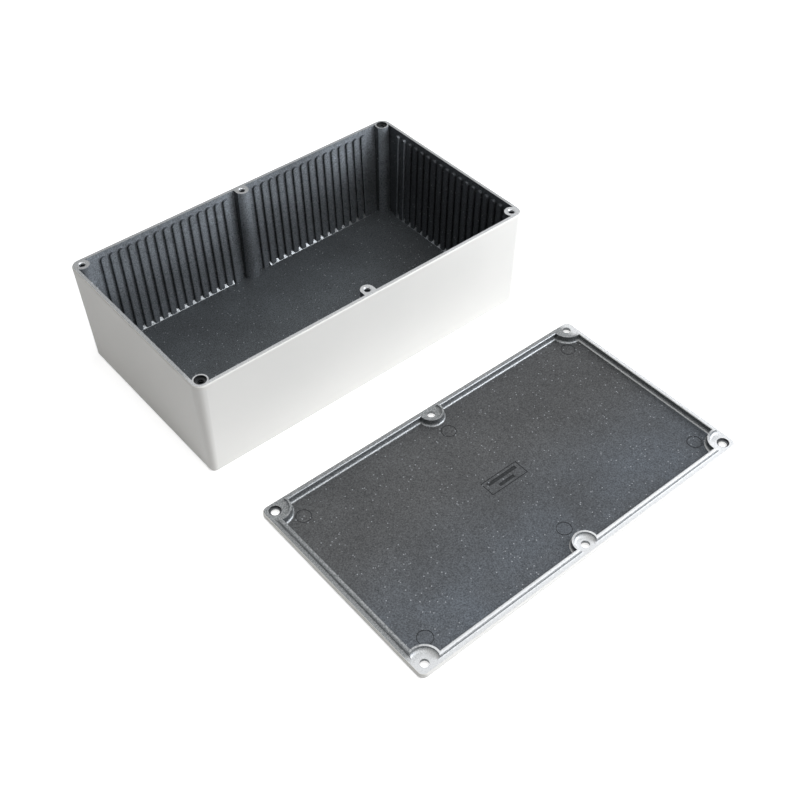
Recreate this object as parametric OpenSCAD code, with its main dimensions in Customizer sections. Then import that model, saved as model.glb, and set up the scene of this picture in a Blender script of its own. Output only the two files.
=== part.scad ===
// Die cast aluminium box: open ribbed case with six screw bosses, and its lid lying inner side up beside it.

/* [Case] */
// length over the rim
case_l = 192; // [120:1:260]
// width over the rim
case_w = 110; // [80:1:170]
// height from the base to the rim
case_h = 57; // [30:0.5:90]
// outer corner radius at the rim
corner_r = 5; // [4:0.1:7]
// how far each side leans in from the rim to the base
draft = 2; // [0.8:0.1:2.2]
// wall thickness
wall = 2; // [1.6:0.1:2.4]
// floor thickness
floor_t = 2.5; // [2:0.1:4]
// radius of the outer edge round the base
base_r = 1.8; // [0.5:0.1:2.5]
// radius of the outer edge round the rim
rim_r = 0.7; // [0.3:0.1:1.2]

/* [Guide ribs] */
// distance from one board slot to the next
rib_pitch = 5; // [4:0.1:6]
// clear width of a board slot
slot_w = 1.8; // [1.4:0.1:2.2]
// how far the ribs stand out from the wall
rib_out = 1.4; // [1:0.1:1.8]
// edge break along the front of each rib
rib_edge = 0.35; // [0.1:0.05:0.5]
// gap left between the rounded rib tops and the ridge of the closed lid
rib_clear = 0.6; // [0.3:0.1:4]
// height of the sloping slot ends above the floor
slot_end = 1.5; // [1:0.1:3]
// plain wall kept beside each middle boss, from its axis to the first rib
boss_gap = 7.7; // [6.5:0.1:9]
// plain wall kept beside each corner boss, from the corner boss axis to the last rib
corner_gap = 8.8; // [8.5:0.1:12]

/* [Screw bosses] */
// screw axis inward from each short side
inset_x = 5; // [4.5:0.1:6]
// screw axis inward from each long side
inset_y = 4.5; // [4.3:0.1:6]
// corner boss radius at the rim
corner_boss_r = 3.6; // [3.2:0.1:4.2]
// middle boss radius at the rim
mid_boss_r = 3.4; // [3:0.1:4]
// how much every boss widens down to the floor
boss_taper = 0.9; // [0.3:0.1:1.2]
// radius of the screws
screw_r = 1.75; // [1.5:0.25:2]
// how much smaller in radius than the screw the tapped holes are
tap_bite = 0.3; // [0.2:0.05:0.4]
// depth of the tapped holes
tap_deep = 14; // [8:1:20]
// radius of the counterbore in two opposite corners
counter_r = 2.9; // [2.4:0.1:3.1]
// depth of that counterbore
counter_deep = 1.2; // [0.4:0.1:2]

/* [Lid] */
// thickness of the lid at its flat ledge
lid_edge_t = 3; // [2.5:0.1:4]
// thickness of the sunken panel
panel_t = 1.5; // [1.2:0.1:2]
// corner radius of the lid
lid_corner_r = 3.2; // [2.5:0.1:5]
// radius of the outer edge round the lid face
lid_r = 0.8; // [0.4:0.1:0.9]
// gap left between the ridge and the case wall
ridge_fit = 0.25; // [0.1:0.05:0.5]
// height of the ridge above the ledge
ridge_h = 2; // [1:0.1:2.2]
// width of the ridge at its top
ridge_w = 1.6; // [1.2:0.1:2.2]
// radius of the rounded outer edge along the ridge's top
ridge_round = 0.9; // [0.3:0.1:1.2]
// radius of the hollow between ridge and ledge
ridge_root = 0.5; // [0.2:0.1:0.8]
// radius of the hollow where ridge and panel meet
foot = 1.2; // [0.6:0.1:1.4]
// gap between the screws and their clearance holes
screw_gap = 0.25; // [0.1:0.05:0.4]
// level pad kept round the closed case's middle bosses
mid_pad = 0.1; // [0.1:0.1:0.6]
// level pad kept round the closed case's corner bosses
corner_pad = 1.4; // [0.4:0.1:1.8]
// radius of the hollow at the inner side of the curved walls
arc_hollow = 1.6; // [1:0.1:1.8]
// width of the curved walls at their top
crest = 0.9; // [0.7:0.1:1.4]
// depth of the counterbore in two opposite corners of the lid
lid_counter = 0.8; // [0.2:0.1:1]
// radius of the countersink at the lid face
sink_r = 3.4; // [3:0.1:3.5]
// where the lid lies beside the case, along the case
lid_x = 4.8; // [-20:0.1:20]
// where the lid lies beside the case, across the case
lid_y = -141.1; // [-175:0.1:-120]

/* [Marks in the lid panel] */
// length of the blank plate outline
plate_l = 21.6; // [12:0.1:40]
// width of the blank plate outline
plate_w = 8.4; // [6:0.1:16]
// line width of the plate outline
plate_line = 0.4; // [0.2:0.1:0.8]
// depth of the plate outline and the ejector marks
mark_deep = 0.15; // [0.05:0.05:0.3]
// radius of the ejector pin marks
pin_r = 3.7; // [2:0.1:5]

/* [Hidden] */
$fn = 64;
e = 0.01;
slope = draft / case_h;
lean = atan(slope);
tilt = sqrt(1 + slope * slope);
ax = case_l / 2 - corner_r;
ay = case_w / 2 - corner_r;
sx = case_l / 2 - inset_x;
sy = case_w / 2 - inset_y;
rib_w = rib_pitch - slot_w;
rib_drop = ridge_h + rib_clear;
tap_r = screw_r - tap_bite;
clear_r = screw_r + screw_gap;
mid_arc_r = mid_boss_r + mid_pad + arc_hollow + crest;
corner_arc_r = corner_boss_r + corner_pad + arc_hollow + crest;
long_n = floor((sx - corner_gap - boss_gap - rib_w) / rib_pitch) + 1;
short_n = floor((sy - corner_gap - rib_w / 2) / rib_pitch);
long_first = boss_gap + rib_w / 2;
long_last = long_first + (long_n - 1) * rib_pitch;
floor_in = slope * (case_h - floor_t);
ridge_d = wall + ridge_fit;
ridge_top = lid_edge_t + ridge_h;
dip = 0.03;
corners = [[-1, -1], [1, -1], [1, 1], [-1, 1]];
holes = [[-1, -1], [0, -1], [1, -1], [1, 1], [0, 1], [-1, 1]];

// a half section, x outward from the corner axis, made into the whole section of a block
module whole_section(reach, low, high) {
  translate([reach, 0]) children();
  mirror([1, 0]) translate([reach, 0]) children();
  translate([-reach, low]) square([2 * reach, high - low]);
}

// a half section carried along four sides and round four corners
module block(lx, ly, low, high) {
  rotate([90, 0, 90]) translate([0, 0, -lx]) linear_extrude(2 * lx)
    whole_section(ly, low, high) children();
  rotate([90, 0, 0]) translate([0, 0, -ly]) linear_extrude(2 * ly)
    whole_section(lx, low, high) children();
  for (c = corners)
    translate([c[0] * lx, c[1] * ly, 0]) rotate_extrude() children();
}

// what is cut off a sharp edge to round it, the corner of the section at the origin side
module edge_cut(r, top) {
  difference() {
    translate([0, -r - 1]) square([r + 1, r + 1 + top]);
    circle(r);
  }
}

// outside of the case, leaning sides, rounded base and rim edges
module case_section() {
  difference() {
    polygon([[0, 0], [corner_r - draft, 0], [corner_r, case_h], [0, case_h]]);
    translate([corner_r - draft + slope * base_r - base_r * tilt, base_r])
      edge_cut(base_r, -base_r * sin(lean));
    translate([corner_r - slope * rim_r - rim_r * tilt, case_h - rim_r]) mirror([0, 1])
      edge_cut(rim_r, rim_r * sin(lean));
  }
}

module case_outside() {
  block(ax, ay, 0, case_h) case_section();
}

// the hollow between the plain walls
module hollow_section() {
  polygon([[0, floor_t], [corner_r - wall - floor_in, floor_t],
           [corner_r - wall + slope, case_h + 1], [0, case_h + 1]]);
}

module hollow() {
  block(ax, ay, floor_t, case_h + 1) hollow_section();
}

// guide ribs of one wall, the wall plane at y = 0 and z = 0 at the rim
module rib_row(places) {
  intersection() {
    rotate([-lean, 0, 0]) translate([0, 0, -case_h - 5]) linear_extrude(case_h + 6)
      for (x = places)
        translate([x, 0]) polygon([[-rib_w / 2, 1], [-rib_w / 2, rib_edge - rib_out],
          [rib_edge - rib_w / 2, -rib_out], [rib_w / 2 - rib_edge, -rib_out],
          [rib_w / 2, rib_edge - rib_out], [rib_w / 2, 1]]);
    rotate([90, 0, 0]) translate([0, 0, -2]) linear_extrude(rib_out + 6)
      for (x = places)
        translate([x, -rib_drop - rib_w / 2]) {
          circle(rib_w / 2);
          translate([-rib_w / 2, -case_h - 1]) square([rib_w, case_h + 1]);
        }
  }
}

// sloping ends of the board slots, just showing in front of the ribs
module slot_ends(from, to) {
  translate([from, -floor_in, 0]) rotate([90, 0, 90]) linear_extrude(to - from)
    polygon([[1, floor_t - 1], [1, floor_t + slot_end], [0, floor_t + slot_end],
             [-slot_end, floor_t], [-slot_end, floor_t - 1]]);
}

module long_wall() {
  half = [for (i = [0 : long_n - 1]) long_first + i * rib_pitch];
  translate([0, 0, case_h]) rib_row(concat(half, -half));
  for (s = [0, 1])
    mirror([s, 0, 0]) slot_ends(long_first + rib_pitch / 2, long_last + rib_w / 2);
}

module short_wall() {
  translate([0, 0, case_h]) rib_row([for (i = [-short_n : short_n]) i * rib_pitch]);
  reach = short_n * rib_pitch + rib_w / 2;
  slot_ends(-reach, reach);
}

module screw_bosses() {
  for (c = corners)
    translate([c[0] * sx, c[1] * sy, 0])
      cylinder(h = case_h, r1 = corner_boss_r + boss_taper, r2 = corner_boss_r);
  for (s = [-1, 1])
    translate([0, s * sy, 0]) {
      cylinder(h = case_h, r1 = mid_boss_r + boss_taper, r2 = mid_boss_r);
      rotate([90, 0, 0]) translate([0, 0, s > 0 ? -inset_y : 0]) linear_extrude(inset_y)
        polygon([[-mid_boss_r - boss_taper, 0], [mid_boss_r + boss_taper, 0],
                 [mid_boss_r, case_h], [-mid_boss_r, case_h]]);
    }
}

module tapped_hole() {
  translate([0, 0, case_h - tap_deep]) cylinder(h = tap_deep + 1, r = tap_r);
  translate([0, 0, case_h - tap_deep - tap_r]) cylinder(h = tap_r + e, r1 = 0.05, r2 = tap_r);
}

module case() {
  color("lightgray")
    difference() {
      case_outside();
      difference() {
        hollow();
        screw_bosses();
        for (s = [0, 1]) {
          mirror([0, s, 0]) translate([0, case_w / 2 - wall, 0]) long_wall();
          mirror([s, 0, 0]) translate([case_l / 2 - wall, 0, 0]) rotate([0, 0, -90]) short_wall();
        }
      }
      for (h = holes) translate([h[0] * sx, h[1] * sy, 0]) tapped_hole();
      for (s = [-1, 1])
        translate([s * sx, s * sy, case_h - counter_deep]) cylinder(h = 2, r = counter_r);
      for (h = [[-1, 1], [0, -1], [0, 1], [1, -1]])
        translate([h[0] * sx, h[1] * sy, case_h - 0.45])
          cylinder(h = 0.5, r1 = tap_r, r2 = tap_r + 0.5);
    }
}

// edge of the lid, its face down
module lid_section() {
  difference() {
    square([lid_corner_r, lid_edge_t]);
    translate([lid_corner_r - lid_r, lid_r]) edge_cut(lid_r, 0);
    translate([lid_corner_r - 0.4, lid_edge_t - 0.4]) mirror([0, 1]) edge_cut(0.4, 0);
  }
}

module lid_plate() {
  block(case_l / 2 - lid_corner_r, case_w / 2 - lid_corner_r, 0, lid_edge_t) lid_section();
}

// the corner left between a floor and a wall by a round hollow, the corner itself at the origin
module hollow_corner(r) {
  difference() {
    translate([-1, -1]) square(r + 1);
    translate([r, r - dip]) circle(r);
  }
}

// section across the raised block that the ridge is the rim of, reach being half its width
module ridge_section(reach) {
  difference() {
    polygon([[-reach, lid_edge_t - 1], [reach, lid_edge_t - 1], [reach, lid_edge_t],
             [reach - 0.2, ridge_top], [0.2 - reach, ridge_top], [-reach, lid_edge_t]]);
    for (s = [0, 1])
      mirror([s, 0]) translate([reach - 0.2 - ridge_round, ridge_top - ridge_round])
        mirror([0, 1]) edge_cut(ridge_round, 0);
  }
  for (s = [0, 1])
    mirror([s, 0]) translate([reach - 0.05, lid_edge_t]) hollow_corner(ridge_root);
}

module ridge_block() {
  intersection() {
    rotate([90, 0, 0]) translate([0, 0, -case_w / 2]) linear_extrude(case_w)
      ridge_section(case_l / 2 - ridge_d);
    rotate([90, 0, 90]) translate([0, 0, -case_l / 2]) linear_extrude(case_l)
      ridge_section(case_w / 2 - ridge_d);
  }
}

// section across the hollow over the sunken panel, reach being half its width at the top
module sunk(reach) {
  difference() {
    polygon([[-reach - 0.3, ridge_top + e], [-reach, ridge_top - 0.3], [0.25 - reach, panel_t],
             [reach - 0.25, panel_t], [reach, ridge_top - 0.3], [reach + 0.3, ridge_top + e]]);
    for (s = [0, 1])
      mirror([s, 0]) translate([0.25 - reach, panel_t]) hollow_corner(foot);
  }
}

module panel_hollow() {
  inward = ridge_d + ridge_w + 0.2;
  intersection() {
    rotate([90, 0, 0]) translate([0, 0, -case_w / 2]) linear_extrude(case_w)
      sunk(case_l / 2 - inward);
    rotate([90, 0, 90]) translate([0, 0, -case_l / 2]) linear_extrude(case_l)
      sunk(case_w / 2 - inward);
  }
}

// ground kept round a hole, inside its curved wall
module hole_land(r) {
  translate([0, 0, panel_t - 1]) cylinder(h = ridge_top - panel_t + 2, r1 = r + 0.25, r2 = r);
  rotate_extrude() {
    translate([r + 0.2, panel_t]) hollow_corner(foot);
    translate([0, panel_t - 1]) square([r, 1 + foot]);
  }
}

// level pad round a hole, hollowed up to the curved wall
module pad_cut(r) {
  rotate_extrude()
    difference() {
      translate([0, lid_edge_t]) square([r - crest, ridge_h + 1]);
      translate([r - crest - arc_hollow, lid_edge_t])
        difference() {
          square([arc_hollow + 1, arc_hollow]);
          translate([0, arc_hollow]) circle(arc_hollow);
        }
    }
}

// level way out to the edge, over the web of a middle boss
module web_cut() {
  w = mid_boss_r + mid_pad;
  translate([-w, 0, lid_edge_t]) cube([2 * w, inset_y, ridge_h + 1]);
}

module clearance_hole() {
  translate([0, 0, -1]) cylinder(h = lid_edge_t + 2, r = clear_r);
  translate([0, 0, -e]) cylinder(h = sink_r - clear_r + e, r1 = sink_r + e, r2 = clear_r);
}

// outline of a plate with two plain bars, cut into the panel
module blank_plate() {
  difference() {
    square([plate_l, plate_w], center = true);
    square([plate_l - 2 * plate_line, plate_w - 2 * plate_line], center = true);
  }
  translate([0, plate_w * 0.2]) square([plate_l * 0.8, plate_w * 0.22], center = true);
  translate([0, -plate_w * 0.2]) square([plate_l * 0.42, plate_w * 0.2], center = true);
}

module panel_marks() {
  translate([0, 0, panel_t - mark_deep]) linear_extrude(1) blank_plate();
  for (p = [[0, -1], [0, 1], [-1, 1], [1, 1], [1, -1], [-1, -1]])
    translate([p[0] * (sx - 8.5), p[1] * (sy - (p[0] == 0 ? 12.6 : 9.5)), panel_t - mark_deep])
      difference() {
        cylinder(h = 1, r = pin_r);
        translate([0, 0, -1]) cylinder(h = 3, r = pin_r - 0.35);
      }
}

module lid() {
  color("darkgray")
    translate([lid_x, lid_y, 0])
      difference() {
        union() {
          lid_plate();
          ridge_block();
        }
        difference() {
          panel_hollow();
          for (h = holes)
            translate([h[0] * sx, h[1] * sy, 0]) hole_land(h[0] == 0 ? mid_arc_r : corner_arc_r);
        }
        for (h = holes)
          translate([h[0] * sx, h[1] * sy, 0]) {
            pad_cut(h[0] == 0 ? mid_arc_r : corner_arc_r);
            clearance_hole();
          }
        for (s = [0, 1]) mirror([0, s, 0]) translate([0, sy, 0]) web_cut();
        for (s = [-1, 1])
          translate([s * sx, -s * sy, lid_edge_t - lid_counter]) cylinder(h = 1, r = counter_r);
        panel_marks();
      }
}

case();
lid();
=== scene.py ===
import bpy
import math
from mathutils import Matrix, Vector


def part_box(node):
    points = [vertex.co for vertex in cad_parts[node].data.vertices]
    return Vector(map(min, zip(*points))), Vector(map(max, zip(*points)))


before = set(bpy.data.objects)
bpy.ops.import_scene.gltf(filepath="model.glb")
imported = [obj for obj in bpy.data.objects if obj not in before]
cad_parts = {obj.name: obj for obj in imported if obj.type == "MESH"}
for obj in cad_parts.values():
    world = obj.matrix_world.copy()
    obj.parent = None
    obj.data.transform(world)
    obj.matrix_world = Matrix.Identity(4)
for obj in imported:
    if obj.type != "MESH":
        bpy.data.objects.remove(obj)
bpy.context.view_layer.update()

scene = bpy.context.scene
scene.view_settings.view_transform = "Standard"
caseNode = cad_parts["case"]
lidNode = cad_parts["lid"]
caseLow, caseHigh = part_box("case")
lidLow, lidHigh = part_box("lid")
caseHalf = (caseHigh - caseLow) / 2
lidCentre = (lidLow + lidHigh) / 2
lidHalf = (lidHigh - lidLow) / 2
print("frame loaded")


def linear(hexColour):
    # sRGB hex to the linear colour that shaders take
    parts = [int(hexColour[i:i + 2], 16) / 255 for i in (1, 3, 5)]
    return [p / 12.92 if p <= 0.04045 else ((p + 0.055) / 1.055) ** 2.4 for p in parts] + [1.0]


def addNode(tree, kind, settings=None, links=None):
    # settings are attributes, or input values by socket name or number; links feed inputs from outputs
    node = tree.nodes.new(kind)
    for name, value in (settings or {}).items():
        if isinstance(name, str) and hasattr(node, name):
            setattr(node, name, value)
        else:
            node.inputs[name].default_value = value
    for name, output in (links or {}).items():
        tree.links.new(output, node.inputs[name])
    return node


def newMaterial(name):
    material = bpy.data.materials.new(name)
    material.use_nodes = True
    material.node_tree.nodes.clear()
    return material, material.node_tree


camera = {
    "sensor": 36,             # mm
    "lens": 53.845,           # mm
    "azimuth": 0.687407,      # radians from +Y towards +X
    "elevation": 0.797925,    # radians looking down
    "roll": -0.011369,        # radians
    "place": (-0.254976, -0.383783, 0.414170),
    "nearest": 0.01,          # metres, where the view starts
}


def makeCamera(c):
    cosAzimuth, sinAzimuth = math.cos(c["azimuth"]), math.sin(c["azimuth"])
    cosDown, sinDown = math.cos(c["elevation"]), math.sin(c["elevation"])
    ahead = Vector((sinAzimuth * cosDown, cosAzimuth * cosDown, -sinDown))
    right = Vector((cosAzimuth, -sinAzimuth, 0))
    down = ahead.cross(right)
    cosRoll, sinRoll = math.cos(c["roll"]), math.sin(c["roll"])
    axisX = right * cosRoll - down * sinRoll
    axisDown = right * sinRoll + down * cosRoll
    data = bpy.data.cameras.new("camera")
    data.sensor_width = c["sensor"]
    data.lens = c["lens"]
    data.clip_start = c["nearest"]
    obj = bpy.data.objects.new("camera", data)
    columns = Matrix((axisX, -axisDown, -ahead)).transposed()
    obj.matrix_world = Matrix.Translation(Vector(c["place"])) @ columns.to_4x4()
    scene.collection.objects.link(obj)
    scene.camera = obj


makeCamera(camera)
print("camera placed")


stage = {
    "floorHalf": 4.0,         # metres from its middle to its edge
    "floorDrop": 0.0003,      # metres below the object, so that the two faces don't flicker
    "floorColour": "#f4f4f4",
    "floorGlow": 0.72,        # seen by the eye and in reflections only, so that it reads as white paper
    "worldLight": 0.10,       # even light from all round
    "worldSeen": 1.0,         # white, where the eye or a reflection meets it
    "aim": (0.0, -0.07, 0.02),  # middle of the case and its lid, which the lights face
    "lights": {
        # name: place in metres, size in metres, power in watts, colour
        "keyLight": ((0.55, -0.62, 0.42), (0.60, 0.45), 8.2, "#f6f9ff"),   # soft box at the front right
        "topLight": ((0.10, -0.25, 1.20), (0.90, 0.90), 8.0, "#ffffff"),   # large soft box overhead
    },
}


def backgroundRays(tree):
    # 1 for rays from the camera and for reflected or refracted ones, and 0 for those that gather light
    path = addNode(tree, "ShaderNodeLightPath")
    mirrored = addNode(tree, "ShaderNodeMath", {"operation": "MAXIMUM"},
                       {0: path.outputs["Is Glossy Ray"], 1: path.outputs["Is Transmission Ray"]})
    seen = addNode(tree, "ShaderNodeMath", {"operation": "MAXIMUM"},
                   {0: path.outputs["Is Camera Ray"], 1: mirrored.outputs[0]})
    return seen.outputs[0]


def makeFloor(s):
    # white studio paper: plain and matt, and it takes the object's faint shadow
    half, low = s["floorHalf"], -s["floorDrop"]
    mesh = bpy.data.meshes.new("floor")
    corners = [(x * half, y * half, low) for x, y in ((-1, -1), (1, -1), (1, 1), (-1, 1))]
    mesh.from_pydata(corners, [], [(0, 1, 2, 3)])
    floor = bpy.data.objects.new("floor", mesh)
    scene.collection.objects.link(floor)
    material, tree = newMaterial("whitePaper")
    paper = addNode(tree, "ShaderNodeBsdfDiffuse", {"Color": linear(s["floorColour"])})
    glow = addNode(tree, "ShaderNodeMath", {"operation": "MULTIPLY", 1: s["floorGlow"]},
                   {0: backgroundRays(tree)})
    lit = addNode(tree, "ShaderNodeEmission", {}, {"Strength": glow.outputs[0]})
    both = addNode(tree, "ShaderNodeAddShader", {}, {0: paper.outputs[0], 1: lit.outputs[0]})
    addNode(tree, "ShaderNodeOutputMaterial", {}, {"Surface": both.outputs[0]})
    mesh.materials.append(material)


def makeWorld(s):
    world = bpy.data.worlds.new("studio")
    scene.world = world
    world.use_nodes = True
    tree = world.node_tree
    tree.nodes.clear()
    strength = addNode(tree, "ShaderNodeMapRange", {"To Min": s["worldLight"], "To Max": s["worldSeen"]},
                       {"Value": backgroundRays(tree)})
    light = addNode(tree, "ShaderNodeBackground", {"Color": (1, 1, 1, 1)}, {"Strength": strength.outputs[0]})
    addNode(tree, "ShaderNodeOutputWorld", {}, {"Surface": light.outputs[0]})


def makeLights(s):
    for name, (place, size, power, colour) in s["lights"].items():
        data = bpy.data.lights.new(name, "AREA")
        data.shape = "RECTANGLE"
        data.size, data.size_y = size
        data.energy = power
        data.color = linear(colour)[:3]
        obj = bpy.data.objects.new(name, data)
        obj.location = place
        obj.rotation_euler = (Vector(place) - Vector(s["aim"])).to_track_quat("Z", "Y").to_euler()
        scene.collection.objects.link(obj)


makeFloor(stage)
makeWorld(stage)
makeLights(stage)
print("stage and lights made")


enamel = {
    "colour": "#dedcd7",       # light grey stove enamel, a little warm
    "patchColour": "#d7d6d1",  # where the sprayed film is thinner
    "patchSize": 36.0,         # mm
    "roughness": 0.42,
    "roughnessSpread": 0.04,   # either way, from patch to patch
    "ior": 1.5,
    "peelSize": 1.1,           # mm between the dimples of the sprayed film
    "peelHeight": 0.006,       # mm
    "peelStrength": 0.5,
}


def makeEnamel(name, e):
    # stove enamel sprayed on the outside: smooth and satin, with a faint orange peel in its highlights
    material, tree = newMaterial(name)
    spot = addNode(tree, "ShaderNodeTexCoord").outputs["Object"]
    patch = addNode(tree, "ShaderNodeTexNoise", {"Scale": 1000 / e["patchSize"], "Detail": 3.0},
                    {"Vector": spot})
    tint = addNode(tree, "ShaderNodeMix",
                   {"data_type": "RGBA", 6: linear(e["colour"]), 7: linear(e["patchColour"])},
                   {0: patch.outputs["Fac"]})
    peel = addNode(tree, "ShaderNodeTexNoise", {"Scale": 1000 / e["peelSize"], "Detail": 1.0},
                   {"Vector": spot})
    gloss = addNode(tree, "ShaderNodeMapRange",
                    {"To Min": e["roughness"] - e["roughnessSpread"],
                     "To Max": e["roughness"] + e["roughnessSpread"]},
                    {"Value": patch.outputs["Fac"]})
    bump = addNode(tree, "ShaderNodeBump",
                   {"Strength": e["peelStrength"], "Distance": e["peelHeight"] / 1000},
                   {"Height": peel.outputs["Fac"]})
    paint = addNode(tree, "ShaderNodeBsdfPrincipled", {"IOR": e["ior"]},
                    {"Base Color": tint.outputs[2], "Roughness": gloss.outputs[0], "Normal": bump.outputs[0]})
    addNode(tree, "ShaderNodeOutputMaterial", {}, {"Surface": paint.outputs[0]})
    return material


casting = {
    "colour": "#54585b",       # dull aluminium, straight from the die
    "darkColour": "#424446",   # oxide and die lubricant
    "farColour": "#565a5e",    # the metal at the far end of the axis below, a little paler
    "axis": "Z",               # the way from one colour to the other, between two places in metres
    "from": 0.020,
    "to": 0.056,
    "metallic": 0.75,
    "roughness": 0.50,
    "roughnessSpread": 0.10,   # duller in the hollows of the grain, brighter on its tops
    "grain": 0.60,             # mm across one grain, drawn coarser than the real 0.2 mm so that it shows
    "grainRange": (0.3, 0.7),  # noise levels that the grain runs between
    "grainTone": (0.45, 1.55),  # darkest and lightest grain, as shares of the colour
    "grainHeight": 0.04,       # mm
    "grainStrength": 0.7,
    "stainSize": 45.0,         # mm
    "stainRange": (0.35, 0.65),
    "stainShare": 0.6,         # of the dark colour, where the stain is deepest
    "flake": "#9a9da1",        # bright grains
    "flakeShare": 0.03,        # share of the cells that hold one
    "flakeSize": 0.8,          # mm from one cell to the next
    "flakeReach": (0.45, 0.20),  # from its faint edge to its bright core, in cells
}


def makeCasting(name, c):
    # die cast aluminium left raw: dull dark metal with a fine bright grain, blotched by oxide
    material, tree = newMaterial(name)
    spot = addNode(tree, "ShaderNodeTexCoord").outputs["Object"]
    parts = addNode(tree, "ShaderNodeSeparateXYZ", {}, {0: spot})
    grain = addNode(tree, "ShaderNodeTexNoise",
                    {"Scale": 1000 / c["grain"], "Detail": 3.0, "Roughness": 0.65}, {"Vector": spot})
    stain = addNode(tree, "ShaderNodeTexNoise",
                    {"Scale": 1000 / c["stainSize"], "Detail": 4.0, "Roughness": 0.6}, {"Vector": spot})
    cells = addNode(tree, "ShaderNodeTexVoronoi", {"Scale": 1000 / c["flakeSize"]}, {"Vector": spot})
    way = addNode(tree, "ShaderNodeMapRange",
                  {"interpolation_type": "SMOOTHSTEP", "From Min": c["from"], "From Max": c["to"]},
                  {"Value": parts.outputs[c["axis"]]})
    clean = addNode(tree, "ShaderNodeMix",
                    {"data_type": "RGBA", 6: linear(c["colour"]), 7: linear(c["farColour"])},
                    {0: way.outputs[0]})
    blotch = addNode(tree, "ShaderNodeMapRange",
                     {"From Min": c["stainRange"][0], "From Max": c["stainRange"][1],
                      "To Max": c["stainShare"]},
                     {"Value": stain.outputs["Fac"]})
    stained = addNode(tree, "ShaderNodeMix", {"data_type": "RGBA", 7: linear(c["darkColour"])},
                      {0: blotch.outputs[0], 6: clean.outputs[2]})
    tone = addNode(tree, "ShaderNodeMapRange",
                   {"From Min": c["grainRange"][0], "From Max": c["grainRange"][1],
                    "To Min": c["grainTone"][0], "To Max": c["grainTone"][1]},
                   {"Value": grain.outputs["Fac"]})
    grained = addNode(tree, "ShaderNodeVectorMath", {"operation": "SCALE"},
                      {0: stained.outputs[2], "Scale": tone.outputs[0]})
    chance = addNode(tree, "ShaderNodeSeparateColor", {}, {0: cells.outputs["Color"]})
    chosen = addNode(tree, "ShaderNodeMath", {"operation": "LESS_THAN", 1: c["flakeShare"]},
                     {0: chance.outputs[0]})
    dot = addNode(tree, "ShaderNodeMapRange",
                  {"From Min": c["flakeReach"][0], "From Max": c["flakeReach"][1]},
                  {"Value": cells.outputs["Distance"]})
    flake = addNode(tree, "ShaderNodeMath", {"operation": "MULTIPLY"},
                    {0: chosen.outputs[0], 1: dot.outputs[0]})
    tint = addNode(tree, "ShaderNodeMix", {"data_type": "RGBA", 7: linear(c["flake"])},
                   {0: flake.outputs[0], 6: grained.outputs[0]})
    gloss = addNode(tree, "ShaderNodeMapRange",
                    {"To Min": c["roughness"] + c["roughnessSpread"],
                     "To Max": c["roughness"] - c["roughnessSpread"]},
                    {"Value": grain.outputs["Fac"]})
    bump = addNode(tree, "ShaderNodeBump",
                   {"Strength": c["grainStrength"], "Distance": c["grainHeight"] / 1000},
                   {"Height": grain.outputs["Fac"]})
    metal = addNode(tree, "ShaderNodeBsdfPrincipled", {"Metallic": c["metallic"]},
                    {"Base Color": tint.outputs[2], "Roughness": gloss.outputs[0], "Normal": bump.outputs[0]})
    addNode(tree, "ShaderNodeOutputMaterial", {}, {"Surface": metal.outputs[0]})
    return material


mistedRimAndPaintedLight = {
    "metal": "#868a8c",        # raw aluminium, brighter where the die rubbed it on release
    "darkMetal": "#505254",    # between its grains
    "mist": "#dcdddd",         # enamel mist that the spray gun left on the mating face
    "metallic": 0.85,
    "roughness": 0.40,
    "mistRoughness": 0.62,
    "grain": 0.60,             # mm, as coarse as the casting's
    "grainRange": (0.3, 0.7),
    "grainHeight": 0.05,       # mm
    "grainStrength": 0.7,
    "base": 0.14,              # mist everywhere
    # the extra mist along the front and right edges, which face the key light, is painted light
    "front": 0.80,             # more along the front edge
    "right": 0.70,             # and along the right edge
    "frontBand": (-0.78, -0.88),  # where that starts and is full, in halves of the width
    "rightBand": (0.93, 0.965),   # the same, in halves of the length
    "slope": (0.1, 0.8),       # upward part of the normal where mist starts and is full
    "breakUp": 0.28,           # how much the grain breaks it up, either way
}


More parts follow.
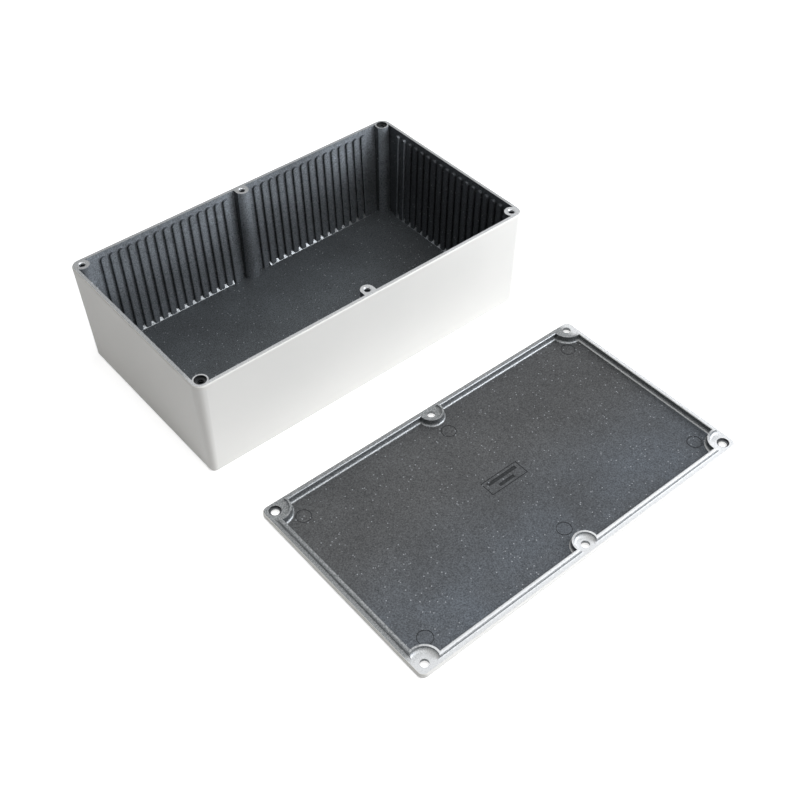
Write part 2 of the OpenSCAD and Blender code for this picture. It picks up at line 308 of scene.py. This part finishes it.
def makeMistedRimAndPaintedLight(name, m, centre, half):
    # raw casting under a dry mist of enamel: chalky at the front right, bright speckled metal at the far
    # side;
    # the mist's extra paleness along the front and right edges, which face the key light, is painted light
    material, tree = newMaterial(name)
    place = addNode(tree, "ShaderNodeTexCoord")
    spot = addNode(tree, "ShaderNodeMapping",
                   {"Location": (-centre.x / half.x, -centre.y / half.y, 0),
                    "Scale": (1 / half.x, 1 / half.y, 1)},
                   {0: place.outputs["Object"]})
    parts = addNode(tree, "ShaderNodeSeparateXYZ", {}, {0: spot.outputs[0]})
    facing = addNode(tree, "ShaderNodeSeparateXYZ", {}, {0: place.outputs["Normal"]})
    grain = addNode(tree, "ShaderNodeTexNoise",
                    {"Scale": 1000 / m["grain"], "Detail": 3.0, "Roughness": 0.65},
                    {"Vector": place.outputs["Object"]})
    front = addNode(tree, "ShaderNodeMapRange",
                    {"From Min": m["frontBand"][0], "From Max": m["frontBand"][1], "To Max": m["front"]},
                    {"Value": parts.outputs["Y"]})
    right = addNode(tree, "ShaderNodeMapRange",
                    {"From Min": m["rightBand"][0], "From Max": m["rightBand"][1], "To Max": m["right"]},
                    {"Value": parts.outputs["X"]})
    most = addNode(tree, "ShaderNodeMath", {"operation": "MAXIMUM"},
                   {0: front.outputs[0], 1: right.outputs[0]})
    level = addNode(tree, "ShaderNodeMath", {"operation": "ADD", 1: m["base"]}, {0: most.outputs[0]})
    upward = addNode(tree, "ShaderNodeMapRange", {"From Min": m["slope"][0], "From Max": m["slope"][1]},
                     {"Value": facing.outputs["Z"]})
    fallen = addNode(tree, "ShaderNodeMath", {"operation": "MULTIPLY"},
                     {0: level.outputs[0], 1: upward.outputs[0]})
    broken = addNode(tree, "ShaderNodeMapRange",
                     {"From Min": m["grainRange"][0], "From Max": m["grainRange"][1],
                      "To Min": -m["breakUp"], "To Max": m["breakUp"]},
                     {"Value": grain.outputs["Fac"]})
    mist = addNode(tree, "ShaderNodeMath", {"operation": "ADD", "use_clamp": True},
                   {0: fallen.outputs[0], 1: broken.outputs[0]})
    bare = addNode(tree, "ShaderNodeMix",
                   {"data_type": "RGBA", 6: linear(m["darkMetal"]), 7: linear(m["metal"])},
                   {0: grain.outputs["Fac"]})
    tint = addNode(tree, "ShaderNodeMix", {"data_type": "RGBA", 7: linear(m["mist"])},
                   {0: mist.outputs[0], 6: bare.outputs[2]})
    metallic = addNode(tree, "ShaderNodeMapRange", {"To Min": m["metallic"], "To Max": 0.0},
                       {"Value": mist.outputs[0]})
    gloss = addNode(tree, "ShaderNodeMapRange", {"To Min": m["roughness"], "To Max": m["mistRoughness"]},
                    {"Value": mist.outputs[0]})
    bump = addNode(tree, "ShaderNodeBump",
                   {"Strength": m["grainStrength"], "Distance": m["grainHeight"] / 1000},
                   {"Height": grain.outputs["Fac"]})
    surface = addNode(tree, "ShaderNodeBsdfPrincipled", {},
                      {"Base Color": tint.outputs[2], "Metallic": metallic.outputs[0],
                       "Roughness": gloss.outputs[0], "Normal": bump.outputs[0]})
    addNode(tree, "ShaderNodeOutputMaterial", {}, {"Surface": surface.outputs[0]})
    return material


thread = {
    "colour": "#8f9397",       # freshly cut aluminium, on the crests
    # the grooves' dark colour is painted shade in the thread's hollows
    "paintedGrooveShade": "#2a2b2d",
    "pitch": 1.20,             # mm, drawn twice as coarse as the real 0.6 mm so that it shows
    "depth": 0.25,             # mm
    "strength": 1.0,
    "metallic": 0.9,
    "roughness": 0.32,
}


def makeThread(name, t):
    # tapped hole: bright crests over grooves darkened with painted shade, round the bore
    material, tree = newMaterial(name)
    place = addNode(tree, "ShaderNodeTexCoord")
    bandsPerScale = 10 / math.pi  # bands in a metre that the wave texture draws at scale 1
    wave = addNode(tree, "ShaderNodeTexWave",
                   {"bands_direction": "Z", "Scale": 1000 / t["pitch"] / bandsPerScale},
                   {"Vector": place.outputs["Object"]})
    tint = addNode(tree, "ShaderNodeMix",
                   {"data_type": "RGBA", 6: linear(t["paintedGrooveShade"]), 7: linear(t["colour"])},
                   {0: wave.outputs["Fac"]})
    bump = addNode(tree, "ShaderNodeBump", {"Strength": t["strength"], "Distance": t["depth"] / 1000},
                   {"Height": wave.outputs["Fac"]})
    metal = addNode(tree, "ShaderNodeBsdfPrincipled",
                    {"Metallic": t["metallic"], "Roughness": t["roughness"]},
                    {"Base Color": tint.outputs[2], "Normal": bump.outputs[0]})
    addNode(tree, "ShaderNodeOutputMaterial", {}, {"Surface": metal.outputs[0]})
    return material


screws = {
    "x": 91.0,            # mm from the middle to the corner screws
    "y": 50.5,
    "tapRadius": 1.47,    # mm, just past the wall of a tapped hole
    "counterRadius": 2.95,  # mm, just past the wall of a counterbore
}


def nearestScrew(x, y, s):
    # distance in mm to the nearest screw axis, and which one it is, as signs of x and y
    spots = [(i, j) for i in (-1, 0, 1) for j in (-1, 1)]
    return min((math.hypot(x - i * s["x"], y - j * s["y"]), i, j) for i, j in spots)


def insetDepth(x, y, halfLength, halfWidth, cornerRadius):
    # how far a place lies inward from a rounded outline round the middle, in mm
    pastX = abs(x) - (halfLength - cornerRadius)
    pastY = abs(y) - (halfWidth - cornerRadius)
    return cornerRadius - math.hypot(max(pastX, 0), max(pastY, 0)) - min(max(pastX, pastY), 0)


caseLook = {
    "halfLength": 96.0,     # mm over the rim
    "halfWidth": 55.0,
    "cornerRadius": 5.0,
    "lean": 2.0,            # mm that each wall leans in down to the base
    "enamelDepth": 0.75,    # mm in from the outside that the enamel wraps round the rim's edge
    "baseLevel": 0.3,       # mm, below this is the base
    "screwDepth": 20.0,     # mm below the rim that the screw holes are looked for
    "slotEndLevel": 5.0,    # mm, below this are the sloping ends of the slots
    "backWall": 30.0,       # mm towards the back, past this is the back wall
    "screwFaces": 0.02,     # mm below the rim where the faces in the holes start
    "landFaces": 0.05,      # mm below the rim within which a face is part of the land
    "landSlope": 0.9,       # upward part of the normal, past this a face is level
    "slotEndSlopes": (0.3, 0.95),  # the same, between these a face slopes
    "backWallSlope": -0.3,  # part of the normal towards the back, below this a face looks to the front
    "castings": {
        # its slight paling up the walls towards the rim is painted light reaching over the rim
        "wall": dict(casting),
        # painted light: the back wall faces the key light over the front rim and is drawn as a paler copy of
        # the casting, palest at its top and darker down to the floor
        "backWall": dict(casting, colour="#7f8387", darkColour="#66696c", farColour="#bcc3ca"),
        # the mating face, thinly misted, with extra paleness along the front and a little along the right
        # that is painted light from the key
        "land": dict(mistedRimAndPaintedLight, mist="#c9caca", base=0.40, front=0.40, right=0.10),
        # cut recess, dark in its own shade
        "counterbore": dict(casting, colour="#48494a", darkColour="#2c2d2e", farColour="#48494a",
                            roughness=0.42),
        # painted highlight: the sloping slot ends are drawn bright and glossy where they glint in the key
        # light
        "slotEnd": dict(casting, colour="#8f9294", darkColour="#5b5d5f", farColour="#8f9294",
                        roughness=0.30),
        # freshly cut bright ring
        "chamfer": dict(casting, colour="#c4c6c8", darkColour="#8e9092", farColour="#c4c6c8",
                        roughness=0.35),
    },
}


def caseFinish(face, c):
    # which finish a face of the case has, from its place and the way it looks
    x, y, z = (v * 1000 for v in face.center)
    height = caseHigh.z * 1000
    lean = c["lean"] * (height - z) / height
    depth = insetDepth(x, y, c["halfLength"] - lean, c["halfWidth"] - lean, c["cornerRadius"])
    away, i, j = nearestScrew(x, y, screws)
    inHole = height - c["screwDepth"] < z < height - c["screwFaces"] and away < screws["counterRadius"]
    if inHole and away < screws["tapRadius"]:
        return "thread"
    if inHole:
        return "counterbore" if i * j == 1 else "chamfer"
    if z > height - c["landFaces"] and face.normal.z > c["landSlope"]:
        return "land"
    if depth < c["enamelDepth"] or z < c["baseLevel"]:
        return "enamel"
    # sloping slot ends, which take the painted highlight
    if z < c["slotEndLevel"] and c["slotEndSlopes"][0] < face.normal.z < c["slotEndSlopes"][1]:
        return "slotEnd"
    # faces of the back wall that look to the front take the paler, painted-light copy
    if y > c["backWall"] and face.normal.y < c["backWallSlope"]:
        return "backWall"
    return "wall"


lidLook = {
    "halfLength": 96.0,     # mm
    "halfWidth": 55.0,
    "cornerRadius": 3.2,
    "panelDepth": 3.0,      # mm in from the edge, past this the panel can start
    "panelLevels": (1.2, 1.6),    # mm above the table, between these are the panel and its marks
    "markLevel": 1.46,      # mm, below this is the floor of a mark
    "counterLevels": (2.1, 2.95),  # mm, between these are the counterbores
    "enamelDepth": 0.5,     # mm in from the outside that the enamel covers
    "faceLevel": 1.2,       # mm, below this is the painted face
    "castings": {
        # bluer and paler towards the front: painted light from the cool key light at the front
        "panel": dict(casting, colour="#51565c", darkColour="#424344", farColour="#4f5051", axis="Y",
                      **{"from": lidCentre.y - 0.045, "to": lidCentre.y + 0.02}),
        # shaded floor of the shallow marks
        "mark": dict(casting, colour="#2e3032", darkColour="#242526", farColour="#2e3032"),
        # cut recess, dark in its own shade
        "counterbore": dict(casting, colour="#55575a", darkColour="#38393a", farColour="#55575a",
                            roughness=0.42),
    },
}


def lidFinish(face, c):
    # which finish a face of the lid has, from its place
    x, y, z = (v * 1000 for v in face.center)
    x, y = x - lidCentre.x * 1000, y - lidCentre.y * 1000
    depth = insetDepth(x, y, c["halfLength"], c["halfWidth"], c["cornerRadius"])
    away, i, j = nearestScrew(x, y, screws)
    if depth > c["panelDepth"] and c["panelLevels"][0] < z < c["panelLevels"][1]:
        return "mark" if z < c["markLevel"] else "panel"
    atCounterbore = i * j == -1 and away < screws["counterRadius"]
    if atCounterbore and c["counterLevels"][0] < z < c["counterLevels"][1]:
        return "counterbore"
    return "enamel" if depth < c["enamelDepth"] or z < c["faceLevel"] else "rim"


def paint(obj, materials, finishOf, look):
    # materials are named by finish, and each face takes the one that finishOf names
    obj.data.materials.clear()
    for material in materials.values():
        obj.data.materials.append(material)
    slots = {finish: slot for slot, finish in enumerate(materials)}
    for face in obj.data.polygons:
        face.material_index = slots[finishOf(face, look)]


caseCastings = caseLook["castings"]
paint(caseNode, {
    "enamel": makeEnamel("stoveEnamelCase", enamel),
    "wall": makeCasting("rawCastingInside", caseCastings["wall"]),
    "land": makeMistedRimAndPaintedLight("mistedLandAndPaintedLight", caseCastings["land"], Vector((0, 0, 0)), caseHalf),
    "counterbore": makeCasting("cutCounterbore", caseCastings["counterbore"]),
    "thread": makeThread("tappedThread", thread),
    "slotEnd": makeCasting("glintPaintedSlotEnd", caseCastings["slotEnd"]),
    "chamfer": makeCasting("cutChamfer", caseCastings["chamfer"]),
    "backWall": makeCasting("rawCastingBackWallPaintedLight", caseCastings["backWall"]),
}, caseFinish, caseLook)

lidCastings = lidLook["castings"]
paint(lidNode, {
    "enamel": makeEnamel("stoveEnamelLid", enamel),
    "panel": makeCasting("rawCastingPanel", lidCastings["panel"]),
    "rim": makeMistedRimAndPaintedLight("mistedRimAndPaintedLight", mistedRimAndPaintedLight, lidCentre, lidHalf),
    "mark": makeCasting("recessedMark", lidCastings["mark"]),
    "counterbore": makeCasting("cutCounterboreLid", lidCastings["counterbore"]),
}, lidFinish, lidLook)
print("materials made")
